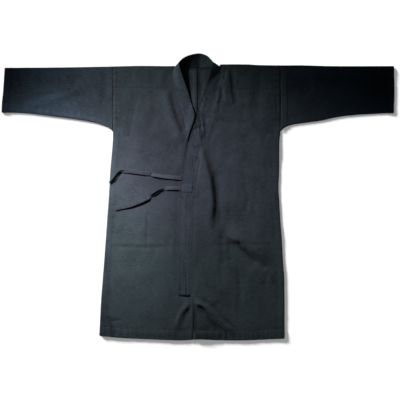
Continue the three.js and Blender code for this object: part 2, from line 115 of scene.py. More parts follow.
# %% [markdown]
# ## Reading the tables
#
# `curve_through` draws a smooth line through a table, so an outline needs only a few points. `ease` is
# a soft step up, `fall` one down and `hill` a soft ridge. All of them take whole arrays, because numpy
# then moves the thirty thousand points of a panel at once.

# %% Curves, steps and ridges
def curve_through(rows, key=0, value=1):
    """A smooth line through a table: one column, read where another has a given value."""
    keys = np.array([row[key] for row in rows], float)
    values = np.array([row[value] for row in rows], float)
    ends = np.r_[0, np.arange(len(keys) - 1)], np.r_[np.arange(1, len(keys)), len(keys) - 1]
    slopes = (values[ends[1]] - values[ends[0]]) / (keys[ends[1]] - keys[ends[0]])

    def at(x):
        x = np.clip(np.asarray(x, float), keys[0], keys[-1])
        i = np.clip(np.searchsorted(keys, x, side="right") - 1, 0, len(keys) - 2)
        span = keys[i + 1] - keys[i]
        t = (x - keys[i]) / span
        rise = slopes[i] * span
        fall = slopes[i + 1] * span
        return (
            (2 * t**3 - 3 * t**2 + 1) * values[i] + (t**3 - 2 * t**2 + t) * rise
            + (3 * t**2 - 2 * t**3) * values[i + 1] + (t**3 - t**2) * fall
        )

    return at


def ease(x, start, end):
    """A soft step from 0 at start to 1 at end."""
    t = np.clip((x - start) / (end - start), 0, 1)
    return t * t * (3 - 2 * t)


def fall(x, start, end):
    """A soft step from 1 at start down to 0 at end."""
    return 1 - ease(x, start, end)


def hill(distance, width):
    """A soft ridge, 1 high."""
    return np.exp(-((distance / width) ** 2))


def mix(a, b, t):
    return a + (b - a) * t


def ripple(x, y, length, seed):
    """Soft uneven waves of about this length in mm, about 1 high, with no direction of their own."""
    draw = random.Random(seed)
    total = 0
    for _ in range(12):
        turn = draw.uniform(0, math.tau)
        wave = length * draw.uniform(0.7, 1.7)
        start = draw.uniform(0, math.tau)
        total = total + np.sin((x * math.cos(turn) + y * math.sin(turn)) * math.tau / wave + start)
    return total / math.sqrt(12)


shoulder_y = curve_through(SHOULDER_LINE)
hem_y = curve_through(HEM_LINE)
neck_y = curve_through(NECK_LINE)
side_x = {"right": curve_through(SIDE_RIGHT), "left": curve_through(SIDE_LEFT)}

# %% [markdown]
# ## Folds
#
# Laid cloth keeps soft ridges and troughs. Each is a line with a width on either side, so that one
# flank can be steep and the other long, and a height, which is negative for a trough. It fades at its
# ends. They are placed where the photo shows them, and none repeats another.

# %% How a fold lifts the cloth
def relief(folds, x, y):
    """Height in mm that a list of folds adds at points (x, y)."""
    total = np.zeros(np.shape(x))
    for height, left, right, path in folds:
        row = [(i, *point) for i, point in enumerate(path)]
        steps = np.linspace(0, len(path) - 1, 5 * (len(path) - 1) + 1)
        line_x, line_y = curve_through(row, 0, 1)(steps), curve_through(row, 0, 2)(steps)
        nearest = np.full(np.shape(x), 1e6)
        width = np.full(np.shape(x), float(left))
        run = np.zeros(np.shape(x))
        for k in range(len(steps) - 1):
            run_x, run_y = line_x[k + 1] - line_x[k], line_y[k + 1] - line_y[k]
            t = ((x - line_x[k]) * run_x + (y - line_y[k]) * run_y) / (run_x**2 + run_y**2)
            t = np.clip(t, 0, 1)
            off_x, off_y = x - line_x[k] - t * run_x, y - line_y[k] - t * run_y
            distance = np.hypot(off_x, off_y)
            closer = distance < nearest
            nearest = np.where(closer, distance, nearest)
            width = np.where(closer, np.where(run_x * off_y > run_y * off_x, left, right), width)
            run = np.where(closer, (k + t) / (len(steps) - 1), run)
        fade = ease(run, 0, 0.2) * fall(run, 0.8, 1)
        total += height * fade * hill(nearest, width)
    return total


# %% Folds of the right front and the right sleeve: height, width left and right of the line, its points
FOLDS_RIGHT_FRONT = [
    (11, 8, 28, [(-108, 384), (-98, 336), (-88, 290), (-66, 230), (-48, 180)]),
    (-2.6, 8, 7, [(-104, 362), (-92, 322), (-80, 274), (-58, 212), (-44, 172)]),
    (-2.8, 9, 14, [(-201, 380), (-222, 318), (-232, 264), (-240, 226), (-246, 200)]),
    (2.4, 26, 20, [(-182, 330), (-196, 260), (-204, 190), (-206, 150)]),
    (-1.8, 16, 16, [(-156, 452), (-152, 380), (-150, 320), (-160, 262), (-172, 214)]),
    (-2, 9, 10, [(-100, 450), (-102, 420), (-106, 392)]),
    (1.6, 24, 22, [(-124, 450), (-126, 400), (-130, 350)]),
    (-1.4, 7, 7, [(-228, 448), (-232, 410), (-222, 380)]),
    (-1.3, 6, 6, [(-176, -40), (-177, -90), (-178, -150), (-176, -190)]),
    (1.2, 20, 9, [(-320, -158), (-250, -160), (-170, -162), (-70, -160)]),
    (-1.2, 6, 8, [(-318, -166), (-250, -168), (-160, -170), (-72, -168)]),
    (1.6, 34, 30, [(-290, 60), (-250, 0), (-210, -80), (-190, -140)]),
    (1.5, 30, 26, [(-270, -220), (-230, -290), (-190, -360), (-160, -430)]),
    (1.6, 24, 30, [(-120, -230), (-118, -300), (-122, -370), (-130, -440)]),
    (-4, 5, 7, [(-306, -404), (-302, -436), (-292, -460), (-280, -478)]),
    (-3, 5, 5, [(-308, -424), (-292, -426), (-262, -423)]),
    (4.5, 15, 9, [(-84, -480), (-72, -434), (-57, -398), (-34, -374), (-6, -366)]),
    (-1.4, 8, 9, [(-88, -456), (-80, -420), (-66, -386), (-44, -362)]),
    (-3.2, 7, 8, [(-48, -446), (-43, -410), (-26, -387), (-4, -380)]),
    (1.3, 26, 24, [(-240, 140), (-210, 110), (-170, 96), (-120, 92)]),
]
FOLDS_SLEEVE_RIGHT = [
    (4.5, 26, 16, [(-606, 310), (-571, 319), (-500, 342), (-450, 362), (-408, 384), (-380, 404)]),
    (-1.6, 10, 12, [(-600, 340), (-540, 352), (-470, 368), (-410, 378)]),
    (2, 22, 26, [(-400, 436), (-378, 380), (-350, 330), (-322, 284)]),
    (1.5, 20, 24, [(-656, 428), (-610, 404), (-560, 386), (-520, 382)]),
    (-1.6, 9, 12, [(-318, 440), (-322, 390), (-330, 330), (-340, 282)]),
    (1.3, 18, 14, [(-470, 430), (-452, 400), (-446, 370)]),
]

# %% Folds of the back, which show inside the neck
FOLDS_BACK = [
    (5, 12, 6, [(-12, 250), (-10, 300), (-6, 360), (-7, 420), (-11, 470)]),
    (2.5, 12, 9, [(18, 250), (20, 300), (24, 360), (25, 420), (22, 470)]),
]

# %% Folds of the left front and the left sleeve
FOLDS_LEFT_FRONT = [
    (8.5, 13, 34, [(-6, 196), (8, 162), (22, 124), (31, 94), (40, 50), (46, 6), (46, -34), (42, -78), (38, -130)]),
    (3, 7, 34, [(4, 178), (16, 144), (26, 114), (34, 84), (41, 48), (45, 12), (46, -24)]),
    (-3, 12, 8, [(50, 96), (60, 60), (64, 20), (64, -20), (62, -70), (58, -120)]),
    (-1.8, 16, 18, [(60, -30), (72, -80), (82, -126), (98, -150)]),
    (16, 38, 10, [(84, -124), (140, -147), (156, -159), (170, -171), (190, -188), (264, -244)]),
    (-2.5, 14, 40, [(96, -160), (130, -178), (154, -198), (180, -214), (214, -234)]),
    (-7, 6, 6, [(116, 466), (118, 424), (121, 384), (128, 344), (132, 318)]),
    (-5, 4, 4, [(94, 452), (93, 436), (90, 418), (88, 402)]),
    (3, 16, 20, [(96, 440), (98, 400), (106, 350), (114, 316)]),
    (2.6, 22, 22, [(160, 430), (170, 370), (172, 310)]),
    (-2, 10, 12, [(212, 450), (214, 400), (206, 350), (200, 300)]),
    (2.2, 24, 22, [(246, 400), (240, 340), (236, 280), (244, 220)]),
    (-2, 8, 8, [(138, -232), (141, -290), (142, -350), (144, -430)]),
    (-1.8, 6, 6, [(108, -148), (110, -190), (109, -226)]),
    (1.8, 26, 24, [(96, -220), (98, -280), (92, -340)]),
    (-1.8, 10, 10, [(158, 60), (172, 0), (160, -50), (138, -96)]),
    (2.2, 30, 24, [(110, 150), (128, 90), (130, 20), (120, -50)]),
    (-1.6, 8, 10, [(232, -252), (236, -282), (220, -312)]),
    (2.2, 12, 16, [(232, -240), (246, -270), (240, -300)]),
    (6.5, 13, 8, [(-30, -362), (0, -366), (28, -380), (52, -404), (78, -432), (104, -454), (136, -470)]),
    (3.5, 8, 5, [(-16, -368), (10, -372), (34, -388), (58, -414)]),
    (-3.4, 9, 12, [(-12, -388), (12, -400), (36, -420), (58, -444), (84, -462)]),
    (2, 12, 14, [(2, -440), (30, -446), (62, -462)]),
    (-1.8, 6, 8, [(4, -352), (34, -360), (62, -384), (90, -416), (120, -444), (142, -466)]),
    (2, 22, 26, [(176, -330), (190, -380), (188, -440)]),
    (-1.6, 6, 7, [(42, -160), (90, -166), (150, -160), (256, -164)]),
    (1.8, 20, 22, [(60, 240), (110, 224), (170, 214)]),
    (-1.6, 12, 12, [(70, 268), (120, 262), (190, 256)]),
    (2.4, 7, 9, [(62, 372), (70, 350), (66, 322), (58, 296)]),
    (-2.2, 6, 6, [(78, 392), (82, 366), (78, 340), (68, 308)]),
    (2, 7, 8, [(88, 380), (96, 352), (92, 326)]),
    (-1.8, 5, 6, [(46, 262), (54, 236), (44, 208), (36, 184)]),
]
FOLDS_SLEEVE_LEFT = [
    (2.8, 12, 9, [(444, 452), (452, 432), (466, 418), (486, 410)]),
    (-1.6, 7, 9, [(456, 450), (466, 434), (482, 424)]),
    (2.2, 22, 26, [(400, 390), (470, 372), (540, 346), (600, 330)]),
    (-1.4, 12, 12, [(420, 350), (490, 332), (550, 316)]),
    (1.6, 22, 20, [(600, 430), (630, 390), (640, 340)]),
    (1.6, 14, 18, [(340, 430), (346, 380), (342, 320), (352, 276)]),
    (-1.4, 10, 12, [(372, 440), (380, 400), (392, 360)]),
]

# %% [markdown]
# ## The collar band's line
#
# The band is one strip, folded lengthwise. Its sewn edge follows the right front, the neck and the left
# front, and its free edge turns from lying inwards on the fronts to standing up round the neck. The
# table gives both edges of its outer face at each station, from the hidden end on the right front to
# the square end on the left front. The hidden stretch matters too: it prints through the front on top.

# %% Stations of the band: seam x, y, z and free edge x, y, z
COLLAR = [
    (22, -342, 3.9, 67, -342, 3.9),
    (21, -183, 3.9, 66, -183, 3.9),
    (16, -62, 3.9, 61, -62, 3.9),
    (7, 25, 3.9, 52, 25, 3.9),
    (-15, 111, 3.9, 31, 111, 3.9),
    (-36, 191, 3.9, 13, 191, 3.9),
    (-49, 250, 3.9, -2, 250, 3.9),
    (-62, 309, 3.9, -18, 309, 6.5),
    (-76, 364, 4.2, -35, 364, 13),
    (-86, 405, 5, -50, 405, 24),
    (-88, 432, 5.4, -60, 432, 33),
    (NECK_SIDE["right"], 451, 2.5, -66, 452, 36),
    (-60, 451.6, 0.6, -61, 469, 33),
    (-35, 450, 0, -36, 486, 26),
    (0, 447.3, 0, 3, 495.5, 17),
    (35, 450.2, 0, 32, 487, 17),
    (59, 452.2, 0.6, 47, 469, 29),
    (NECK_SIDE["left"], 453.5, 2.5, 50, 456, 33),
    (85, 433, 6.4, 45, 432, 29),
    (71, 392, 6.8, 31, 392, 20),
    (55, 347, 6.8, 15, 347, 13),
    (45, 309, 6.9, 1, 309, 10),
    (36, 264, 6.9, -8, 264, 8.6),
    (21, 212, 6.9, -26, 212, 7),
    (2, 136, 6.9, -43, 136, 6.8),
    (-17, 25, 6.9, -60, 25, 6),
    (-21, -62, 6.9, -63, -62, 5.8),
    (-22.5, -183, 6.9, -65, -183, 5.8),
    (-24, -342, 6, -67, -342, 4.8),
]
COLLAR_SPAN = len(COLLAR) - 1
NECK_STATION = {"right": 11, "left": 17}    # the two at the sides of the neck
STATIONS = [(i, *row) for i, row in enumerate(COLLAR)]
band_seam = [curve_through(STATIONS, 0, 1 + axis) for axis in range(3)]
band_free = [curve_through(STATIONS, 0, 4 + axis) for axis in range(3)]


def band_edge(side, line, axis):
    """One edge of the band on one front: its x or z where y has a given value."""
    end, neck = (0, NECK_STATION["right"]) if side == "right" else (COLLAR_SPAN, NECK_STATION["left"])
    at = np.linspace(end, neck, 400)
    rise, read = line[1](at), line[axis](at)
    return lambda y: np.interp(y, rise, read)


seam_x, seam_z, free_x, free_z = [
    {side: band_edge(side, line, axis) for side in SIGN} for line in (band_seam, band_free) for axis in (0, 2)
]
EDGE_BELOW = {"right": 22, "left": -13}     # x of each front's inner edge at the hem
print("the band runs through", len(COLLAR), "stations")

# %% [markdown]
# ## Height of the two fronts
#
# The right front lies on the back. The left front lies on the right front and its band, and drops down
# to the back past the band's hidden edge, which is the long soft step down the photo's right half.
# Seams add to this: an allowance makes a flat raised strip beside the seam, the stitches pull a groove,
# and puckers run across it.

# %% Seams, hems and the broad unevenness of laid cloth
def front_edge(side, y):
    """The front's inner edge: along the band's seam, and below its end on to the hem."""
    below = fall(y, BAND_END - 60, BAND_END)
    return mix(seam_x[side](y), EDGE_BELOW[side], below) - SIGN[side] * SEAM_TUCK


def shoulder_roll(x, y):
    """The shoulder fold doesn't lie quite flat: the front rises towards it."""
    return (2 * FOLD_RADIUS - CLOTH - FRONT_BED) * fall(shoulder_y(x) - FOLD_RADIUS - y, 0, 70)


def flat_at_shoulder(x, y):
    """Soft folds die away where the cloth is pressed over the shoulder."""
    return 0.4 + 0.6 * ease(shoulder_y(x) - y, 3, 34)


def puckers(along, from_seam, spacing, reach, seed):
    """Small waves across a seam, strongest at the stitches, uneven in place and depth."""
    wave = ripple(along, 0 * along, spacing, seed)
    return wave * hill(from_seam, reach)


def seams_of_front(side, x, y):
    """Height in mm of the hem, the side seam, the armhole seam and the line of the shoulder patch."""
    from_hem = y - hem_y(x)
    hem = 2.4 * fall(from_hem, *HEM_FLANK) - 0.9 * hill(from_hem - HEM_DEPTH + 3, 2.6)
    hem = hem + 1.2 * puckers(x, from_hem - 12, 11, 17, 31)
    from_side = SIGN[side] * (side_x[side](y) - x)
    strip = 1.1 * ease(from_side, 0, 6) * fall(from_side, 15, 24)
    strip = strip - 0.15 * hill(from_side - 24, 3) + 0.25 * puckers(y, from_side - 12, 26, 16, 32)
    by_arm = ease(y, UNDERARM - 10, UNDERARM + 20)
    armhole = -0.8 * hill(from_side, 3) - 0.4 * ease(from_side, 0, 4) * fall(from_side, 12, 16)
    armhole = armhole - 1.5 * hill(from_side - 15, 2.5) + 0.6 * puckers(y, from_side - 8, 15, 14, 33)
    from_patch = y - mix(380, 378, ease(x, -280, 280))
    patch = 0.35 * ease(from_patch, -2, 3) - 0.55 * hill(from_patch, 3) * ease(np.abs(x), 84, 100)
    return hem + mix(strip, strip + armhole, by_arm) + patch


def unevenness(x, y, seed):
    """Cloth that was folded and smoothed by hand is never quite flat."""
    broad = 0.55 * ripple(x, y, 150, seed) + 0.34 * ripple(x * 1.3, y * 0.7, 62, seed + 1)
    fine = 0.13 * ripple(x, y * 0.8, 26, seed + 2) + 0.05 * ripple(x * 1.2, y, 11, seed + 3)
    return broad + fine


# %% Where the right front and its band swell up beside the left band's free edge
def swell(x, y):
    """Height in mm: the lower band bulges and then dives under the upper one, which leaves a dark gap."""
    away = free_x["left"](y) - x
    height = (2 * ease(y, 70, 110) + 5.5 * ease(y, 140, 250)) * fall(y, 312, 340)
    return height * ease(away, 1, 8) * fall(away, 10, 40)


# %% The right front's outer face
def right_front(x, y):
    by_neck = ease(y, 250, 330)
    below = fall(y, BAND_END - 4, BAND_END + 2)
    cover_x = mix(free_x["left"](np.minimum(y, 309)), EDGE_BELOW["left"], below)
    covered = ease(x, cover_x - 26, cover_x - 6)
    shown = 1 - covered * (1 - by_neck)
    at_band = fall(seam_x["right"](y) - x, 0, 45) * ease(y, 296, 330)
    lift = at_band * (seam_z["right"](y) - BAND - FRONT_BED + 0.6)
    bed = FRONT_BED + np.maximum(shoulder_roll(x, y), lift)
    soft = relief(FOLDS_RIGHT_FRONT, x, y) + unevenness(x, y, 11) + 1.8
    soft = np.maximum(soft, 0.1 * soft) * shown * (1 - at_band) * flat_at_shoulder(x, y)
    beside_slit = 2.8 * hill(x + 21, 6) * fall(y, *SLIT_TOP)
    seams = seams_of_front("right", x, y) * mix(1, shown, ease(y, -440, -400))
    return bed + soft + beside_slit + swell(x, y) + seams + CLOTH


# %% The left front's outer face
def left_front(x, y):
    below = fall(y, BAND_END - 45, BAND_END - 8)
    under = mix(OVERLAP_BED, HEM_BED, below) - FRONT_BED
    cover_end = mix(free_x["right"](np.maximum(y, BAND_END)), EDGE_BELOW["right"], below)
    over = under * fall(x, cover_end - 3, cover_end + 20)
    at_band = fall(x - seam_x["left"](y), 0, 60) * (y > BAND_END)
    lift = at_band * (seam_z["left"](y) - BAND - FRONT_BED + 0.7)
    bed = FRONT_BED + np.maximum(np.maximum(shoulder_roll(x, y), over), lift)
    soft = relief(FOLDS_LEFT_FRONT, x, y) + 1.4 * unevenness(x, y, 21) + 2
    from_edge = x - front_edge("left", y)
    soft = np.maximum(soft, 0.1 * soft) * ease(from_edge, -3, 18) * flat_at_shoulder(x, y)
    beside_band = ease(y, BAND_END, BAND_END + 20) * fall(y, 100, 150)
    soft = soft - 0.9 * hill(x - seam_x["left"](y) - 5, 2) * beside_band
    soft = soft - 1.6 * fall(from_edge, 0, 9) * fall(y, *SLIT_TOP)
    hem_room = 2.6 * fall(y - hem_y(x), *HEM_FLANK) * fall(x, 40, 80)
    return bed + soft + hem_room + seams_of_front("left", x, y) + CLOTH


front_face = {"right": right_front, "left": left_front}

# %% [markdown]
# ## Wear, and painted light and shade
#
# The dye has faded on ridges and edges and in broad patches, and is darker beside seams. Shade is painted in too:
# creases, gaps and the shaded sides of folds are darker, and a few lit places are painted paler.
# Each vertex holds how much, in an attribute that the material reads.

# %% Patches that are paler (above 0) or darker, from faded cloth and from painted light and shade: share, x, y, reach across and up
FADING_AND_PAINTED_LIGHT = [
    # right sleeve, then left sleeve, whose top fold is painted paler as painted light
    (-0.22, -570, 390, 130, 56), (-0.1, -660, 350, 40, 90), (-0.2, -385, 350, 90, 70),
    (0.6, 485, 437, 150, 17), (-0.25, 334, 385, 24, 34), (-0.3, 636, 376, 34, 50),
    (0.55, 669, 370, 8, 60), (0.2, 300, 330, 14, 60), (-0.15, 400, 350, 80, 70),
    # right front, darker along its side seam, and its corner at the hem, with painted shade in its creases
    (0.08, -150, 130, 90, 60), (0.05, -60, -60, 50, 120), (0.1, -150, -20, 90, 70),
    (-0.2, -302, -60, 9, 80), (-0.25, -318, -240, 9, 90), (-0.3, -330, -420, 12, 80),
    (-0.5, -300, -462, 6, 18), (-0.3, -296, -425, 16, 4),
    # left front, and along its slanting crease: painted shade under the crease and painted light above it
    (0.12, 110, 90, 70, 130), (0.12, 60, 155, 20, 26), (0.2, 186, -118, 24, 26),
    (-0.36, 164, -174, 15, 11), (-0.2, 138, -160, 15, 8), (-0.24, 186, -193, 17, 9), (-0.12, 84, -142, 46, 14),
    # inside the neck, with painted shade on the back and in dark stripes, and where the bands cross, with painted
    # shade in the gap and painted light and shade on the crinkles
    (-0.12, 0, 385, 34, 60), (-0.5, 0.5, 404, 4.5, 60), (-0.2, -25, 404, 5, 60), (-0.45, 2, 275, 8, 30),
    (-0.8, 23, 228, 3.5, 26), (-0.6, 12, 214, 3, 15), (0.3, 6, 240, 5, 13), (-0.4, -6, 176, 14, 5),
    (-0.5, -8, 250, 4, 16), (-0.3, 14, 150, 6, 30),
    # the band's end, the slit and the hem: darker marks at the band's end, and painted shade in the slit, along
    # the left front's edge, inside the arched fold and along the hem
    (-0.5, -62, -318, 2.5, 26), (-0.5, -41, -317, 2.5, 22), (-0.08, -56, -406, 10, 20),
    (-0.5, -11, -428, 7, 44), (-0.9, -13.5, -430, 2.5, 46), (-0.9, -16, -478, 3, 20),
    (-0.15, 30, -450, 34, 30), (-0.18, 40, -434, 42, 18), (-0.15, 40, -466, 260, 28),
    (-0.3, 20, -488, 60, 5), (-0.15, 0, -480, 300, 12),
]


# Paleness at points (x, y) from faded cloth, plus painted light and shade: below 0 is darker.
def fading_and_painted_light(x, y):
    return sum(share * hill(x - at_x, wide) * hill(y - at_y, tall) for share, at_x, at_y, wide, tall in FADING_AND_PAINTED_LIGHT)


def ridge_fading_and_hollow_shade(high):
    """How far each point stands above its neighbours, as a share: ridges fade a little, and dips get painted
    shade, down to -0.4.
    """
    around = high.copy()
    for axis in (0, 1):
        padded = np.pad(around, [(3, 3) if a == axis else (0, 0) for a in (0, 1)], mode="edge")
        around = sum(np.take(padded, range(k, k + high.shape[axis]), axis) for k in range(7)) / 7
    return np.clip((high - around) * 0.16, -0.4, 0.06)


print(len(FADING_AND_PAINTED_LIGHT), "patches of wear")

# %% [markdown]
# ## Laying a length of cloth
#
# A panel starts as one grid from `bmesh.ops.create_grid`, as wide and long as the cut. It is then laid
# course by course: turned hem, back, over the shoulder, front, turned hem. Each course says where its
# share of the grid's rows goes. The UV map keeps the flat cut in metres, so that the weave follows the
# cloth round every fold. Solidify gives the thickness, inwards from the outer face.

# %% From a grid to laid cloth
def add_object(name, data):
    piece = bpy.data.objects.new(name, data)
    bpy.context.collection.objects.link(piece)
    return piece


SHORT_COURSE = 20       # rows; a hem or a turn has no more, and its ridges don't fade and its dips get no painted shade


def grid_mesh(name, columns, rows, size):
    """A flat grid with a UV map, half its side being size."""
    bm = bmesh.new()
    bm.loops.layers.uv.new("flat_cut")
    bmesh.ops.create_grid(bm, x_segments=columns, y_segments=rows, size=size, calc_uvs=True)
    mesh = bpy.data.meshes.new(name)
    bm.to_mesh(mesh)
    bm.free()
    return mesh


def lay_cloth(name, columns, courses, thickness=CLOTH, more=lambda u, t: 0):
    """courses: (rows, place), where place(u, t) gives x, y, z in mm for its rows; u runs across.
    more(u, t) adds fading and painted light above 0, and painted shade below 0, beyond what the folds give."""
    starts = np.cumsum([0] + [count for count, _ in courses])
    rows = int(starts[-1])
    mesh = grid_mesh(name, columns, rows, 0.5)
    flat_points = np.zeros(len(mesh.vertices) * 3)
    mesh.vertices.foreach_get("co", flat_points)
    u, v = flat_points[0::3] + 0.5, flat_points[1::3] + 0.5
    row, column = np.rint(v * rows).astype(int), np.rint(u * columns).astype(int)
    points = np.zeros((len(u), 3))
    for first, (count, place) in zip(starts, courses):
        on = (row >= first) & (row <= first + count)
        points[on] = np.stack(np.broadcast_arrays(*place(u[on], (row[on] - first) / count)), 1)
    mesh.vertices.foreach_set("co", (points * MM).ravel())
    corner = np.zeros(len(mesh.loops), int)
    mesh.loops.foreach_get("vertex_index", corner)
    laid = np.zeros((rows + 1, columns + 1, 3))
    laid[row, column] = points
    along = np.r_[0, np.linalg.norm(np.diff(laid, axis=0), axis=2).mean(1).cumsum()] * MM
    across = np.r_[0, np.linalg.norm(np.diff(laid, axis=1), axis=2).mean(0).cumsum()] * MM
    uv = np.stack([across[column][corner], along[row][corner]], 1)
    mesh.uv_layers.active.data.foreach_set("uv", uv.ravel())
    # per vertex: faded patches, painted shade in creases and gaps, and painted light in a few lit places
    wear_and_painted_light = mesh.attributes.new("wear_and_painted_light", "FLOAT", "POINT")
    fade_and_light = fading_and_painted_light(laid[..., 0], laid[..., 1])
    for first, (count, _) in zip(starts, courses):
        if count > SHORT_COURSE:
            fade_and_light[first:first + count + 1] += ridge_fading_and_hollow_shade(laid[first:first + count + 1, :, 2])
    wear_and_painted_light.data.foreach_set("value", fade_and_light[row, column] + more(u, v))
    mesh.shade_smooth()
    piece = add_object(name, mesh)
    face_outwards(piece)
    if thickness:
        wall = piece.modifiers.new("cloth thickness", "SOLIDIFY")
        wall.thickness = thickness * MM
        wall.offset = -1
    print(name, len(mesh.polygons), "faces")
    return piece


def face_outwards(piece):
    """The topmost part of every piece shows its outer face, so that face has to look up."""
    mesh = piece.data
    highest = max(mesh.polygons, key=lambda face: face.center.z * (abs(face.normal.z) > 0.3))
    if highest.normal.z < 0:
        mesh.flip_normals()
    mesh.update()


def turned_edge(beyond):
    """Where cloth goes that passes an edge by so many mm: how far past the edge, and how deep."""
    into_turn = beyond + TURN_RADIUS
    angle = np.clip(into_turn / TURN_RADIUS, 0, math.pi)
    past = -TURN_RADIUS + TURN_RADIUS * np.sin(angle) + np.minimum(into_turn, 0)
    past = past - np.maximum(into_turn - math.pi * TURN_RADIUS, 0)
    return past, TURN_RADIUS * (1 - np.cos(angle))


# %% [markdown]
# ## Body
#
# Each half of the body is one length of cloth, about 0.3 m wide and 2 m long: the back, the turn over
# the shoulder and the front. The photo shows no seam on the shoulder. At the top of the back the inner
# edge moves from the centre seam out to the side of the neck.

# %% One half of the body
def body_half(side):
    sign = SIGN[side]
    neck_side = NECK_SIDE[side] + sign * 0.5
    centre_x = lambda y: sign * CENTRE_GAP + 0 * y
    edge_x = lambda y: front_edge(side, y)
    top_y = lambda x: shoulder_y(x) - FOLD_RADIUS
    hem_start_y = lambda x: hem_y(x) + HEM_START
    back_top_y = lambda x: neck_y(np.abs(x))
    between_y = lambda x: mix(back_top_y(x), top_y(x), 0.6)

    def settle(u, inner, row_y):
        """A row follows the hem and the shoulder, so its x and y are found together."""
        y = row_y(np.full(np.shape(u), sign * 150.0))
        for _ in range(6):
            x = mix(inner(y), side_x[side](y), u)
            y = row_y(x)
        return x, y

    def back_hem(u, t):
        past, deep = turned_edge(mix(HEM_DEPTH, -HEM_START, t))
        x, y = settle(u, centre_x, lambda x: hem_y(x) - past)
        return x, y, deep

    def back(u, t):
        x, y = settle(u, centre_x, lambda x: mix(hem_start_y(x), back_top_y(x), t))
        return x, y, np.maximum(relief(FOLDS_BACK, x, y), 0)

    def neckline(u, t):
        row_y = lambda x: mix(back_top_y(x), between_y(x), t)
        x, y = settle(u, lambda y: mix(sign * CENTRE_GAP, neck_side, t), row_y)
        return x, y, NECK_LIFT * ease(t, 0, 0.3) + 0 * x

    def above_neckline(u, t):
        x, y = settle(u, lambda y: neck_side + 0 * y, lambda x: mix(between_y(x), top_y(x), t))
        return x, y, NECK_LIFT * (1 - t) + 0 * x

    def over_shoulder(u, t):
        x = mix(neck_side, side_x[side](NECK_DROP), u)
        angle = math.pi * (t - 0.5)
        end = front_face[side](x, top_y(x))
        z = FOLD_RADIUS * (1 + np.sin(angle))
        z = z + (end - 2 * FOLD_RADIUS) * ease(t, 0, 1)
        return x, top_y(x) + FOLD_RADIUS * np.cos(angle), z

    def front(u, t):
        t = t * (1 - 0.5 * (1 - t) ** 8)    # closer rows by the shoulder
        x, y = settle(u, edge_x, lambda x: mix(top_y(x), hem_start_y(x), t))
        return x, y, front_face[side](x, y)

    def front_hem(u, t):
        past, deep = turned_edge(mix(-HEM_START, HEM_DEPTH, t))
        x, y = settle(u, edge_x, lambda x: hem_y(x) - past)
        return x, y, front_face[side](x, y) - deep

    courses = [
        (14, back_hem), (66, back), (5, neckline), (2, above_neckline),
        (8, over_shoulder), (236, front), (14, front_hem),
    ]
    return lay_cloth(f"{side}_body_cloth", 84, courses)


body = {side: body_half(side) for side in SIGN}

# %% [markdown]
# ## Sleeves
#
# A sleeve is one piece, folded along the top and sewn along the bottom, so its cloth runs from the
# bottom seam up the back layer, over the fold and down the front layer. The cuff is turned in.

# %% One sleeve
SLEEVE_FOLDS = {"right": FOLDS_SLEEVE_RIGHT, "left": FOLDS_SLEEVE_LEFT}
sleeve_edge = {"right": curve_through(SLEEVE_EDGE_RIGHT), "left": curve_through(SLEEVE_EDGE_LEFT)}
cuff_x = {"right": curve_through(CUFF_RIGHT), "left": curve_through(CUFF_LEFT)}


def sleeve_face(side, x, y):
    """Height of the sleeve's upper face."""
    sign = SIGN[side]
    top, from_bottom = shoulder_y(x) - FOLD_RADIUS, y - sleeve_edge[side](x)
    roll = np.maximum(fall(top - y, 0, 45), 0.35 * fall(from_bottom, 4, 34) * ease(from_bottom, 0, 4))
    bed = mix(FRONT_BED, 2 * FOLD_RADIUS - CLOTH, roll)
    from_cuff = sign * (cuff_x[side](y) - x)
    from_armhole = sign * (x - ARMHOLE[side])
    cuff = 1.6 * fall(from_cuff, CUFF_DEPTH - 2, CUFF_DEPTH + 3) - 0.5 * hill(from_cuff - CUFF_DEPTH, 2.5)
    cuff = cuff + 0.35 * puckers(y, from_cuff - 10, 12, 14, 41)
    seam = -0.8 * hill(from_armhole, 3) + 0.35 * puckers(y, from_armhole - 4, 16, 12, 42)
    if side == "left":
        seam = seam + 1.3 * ease(from_armhole, 0, 4) * fall(from_armhole, 20, 25)
    strip = 0.8 * ease(from_bottom, 0, 4) * fall(from_bottom, 12, 16)
    pull = 0.5 * puckers(x, from_bottom - 6, 18, 18, 43)
    soft = relief(SLEEVE_FOLDS[side], x, y) + unevenness(x, y, 51 if side == "right" else 61) + 1.5
    soft = np.maximum(soft, 0.1 * soft) * ease(from_bottom, 0, 14) * flat_at_shoulder(x, y)
    return bed + soft + cuff + seam + strip + pull * ease(from_bottom, 0, 8) + CLOTH


def sleeve(side):
    start_x = ARMHOLE[side] + SIGN[side] * 0.3
    length = CUFF_X - abs(start_x)

    def reach(u):
        """How far along the arm, how deep inside, as the cuff turns in at its end, and about which x."""
        past, deep = turned_edge(mix(-length, CUFF_DEPTH, u))
        along = (length + past) / length
        return along, deep, mix(start_x, SIGN[side] * CUFF_X, along)

    def across(along, y):
        return mix(start_x, cuff_x[side](y), along)

    def back_layer(u, t):
        along, deep, rough = reach(u)
        y = mix(sleeve_edge[side](rough) + 0.8, shoulder_y(rough) - FOLD_RADIUS, t)
        return across(along, y), y, deep

    def top_fold(u, t):
        along, deep, rough = reach(u)
        top = shoulder_y(rough) - FOLD_RADIUS
        angle = math.pi * (t - 0.5)
        high = sleeve_face(side, rough, top) / 2
        inset = np.minimum(deep, 2)
        y = top + (FOLD_RADIUS - inset) * np.cos(angle)
        return across(along, y), y, high + (high - deep) * np.sin(angle)

    def front_layer(u, t):
        along, deep, rough = reach(u)
        y = mix(shoulder_y(rough) - FOLD_RADIUS, sleeve_edge[side](rough), t)
        x = across(along, y)
        return x, y, sleeve_face(side, x, y) - deep

    courses = [(24, back_layer), (8, top_fold), (56, front_layer)]
    return lay_cloth(f"{side}_sleeve_cloth", 104, courses)


sleeves = {side: sleeve(side) for side in SIGN}

